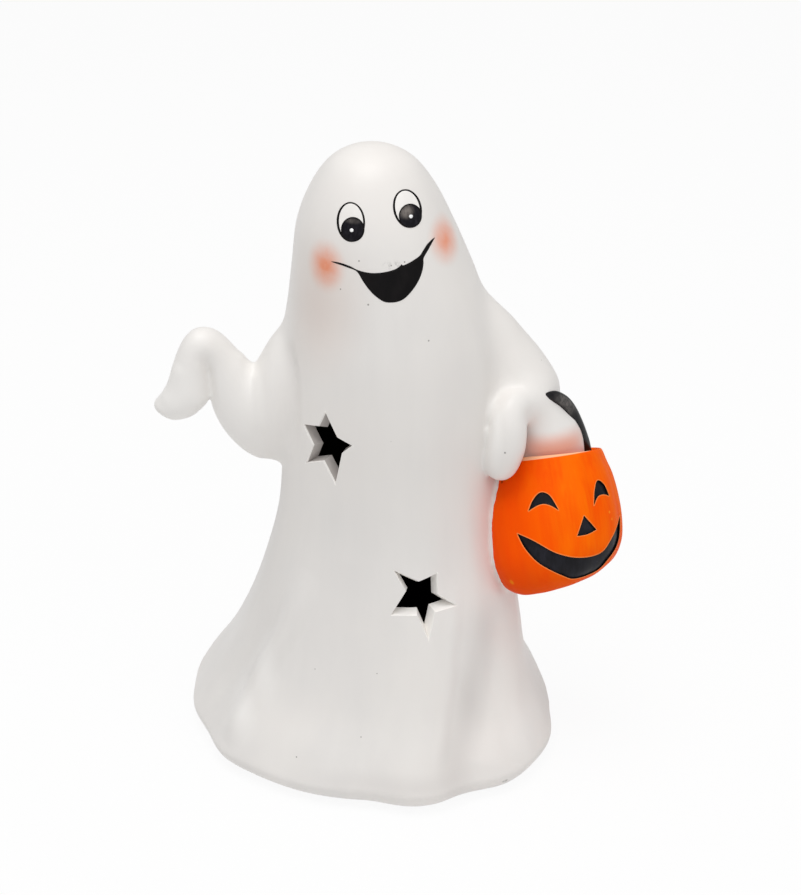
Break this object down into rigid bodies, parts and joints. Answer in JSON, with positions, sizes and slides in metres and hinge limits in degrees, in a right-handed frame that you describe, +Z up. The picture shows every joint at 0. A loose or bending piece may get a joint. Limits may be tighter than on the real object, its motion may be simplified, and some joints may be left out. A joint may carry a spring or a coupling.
{
  "type": "ghost lantern",
  "caption": "White ceramic ghost figure with star cut-outs, one raised arm and a pumpkin bucket, lit by a battery light unit set into its floor.",
  "frame": {"origin": "on the table, under the middle of the whole figure", "axes": "+Z up; the ghost looks towards -Y; the bucket hangs at +X and the raised arm is at -X"},
  "size_m": [0.1842, 0.1538, 0.25],
  "materials": {
    "white_ceramic": "satin",
    "orange_glaze": "gloss",
    "black_glaze": "satin",
    "white_plastic": "matte",
    "frosted_plastic": "matte",
    "lamp_epoxy": "gloss",
    "green_board": "gloss",
    "tan_enamel": "gloss",
    "black_plastic": "matte",
    "cell_jacket": "satin",
    "spring_steel": "satin",
    "plated_steel": "satin",
    "red_insulation": "gloss",
    "grey_rubber": "matte",
    "pad_foam": "matte"
  },
  "bodies": {
    "figure": {"ghost_body": "white_ceramic", "raised_arm": "white_ceramic", "bucket_arm": "white_ceramic", "pumpkin_bucket": "orange_glaze", "bucket_handle": "black_glaze", "light_housing": "white_plastic", "light_cover": "white_plastic", "light_dome": "frosted_plastic", "led_lamp": "lamp_epoxy", "circuit_board": "green_board", "resistor": "tan_enamel", "switch_case": "black_plastic", "batteries": "cell_jacket", "contact_springs": "spring_steel", "contact_plates": "plated_steel", "lead_wires": "red_insulation", "grip_ring": "grey_rubber", "cover_screws": "plated_steel", "foot_pads": "pad_foam"},
    "knob": {"switch_knob": "black_plastic"},
    "door": {"battery_door": "white_plastic"}
  },
  "joints": [
    {"name": "switch_slide", "type": "slide", "parent": "figure", "child": "knob", "axis": [1, 0, 0], "range_m": [0, 0.002]},
    {"name": "door_tilt", "type": "hinge", "parent": "figure", "child": "door", "pos_m": [-0.00909, -0.01065, 0.0007], "axis": [-1, 0, 0], "range_deg": [0, 75]}
  ]
}
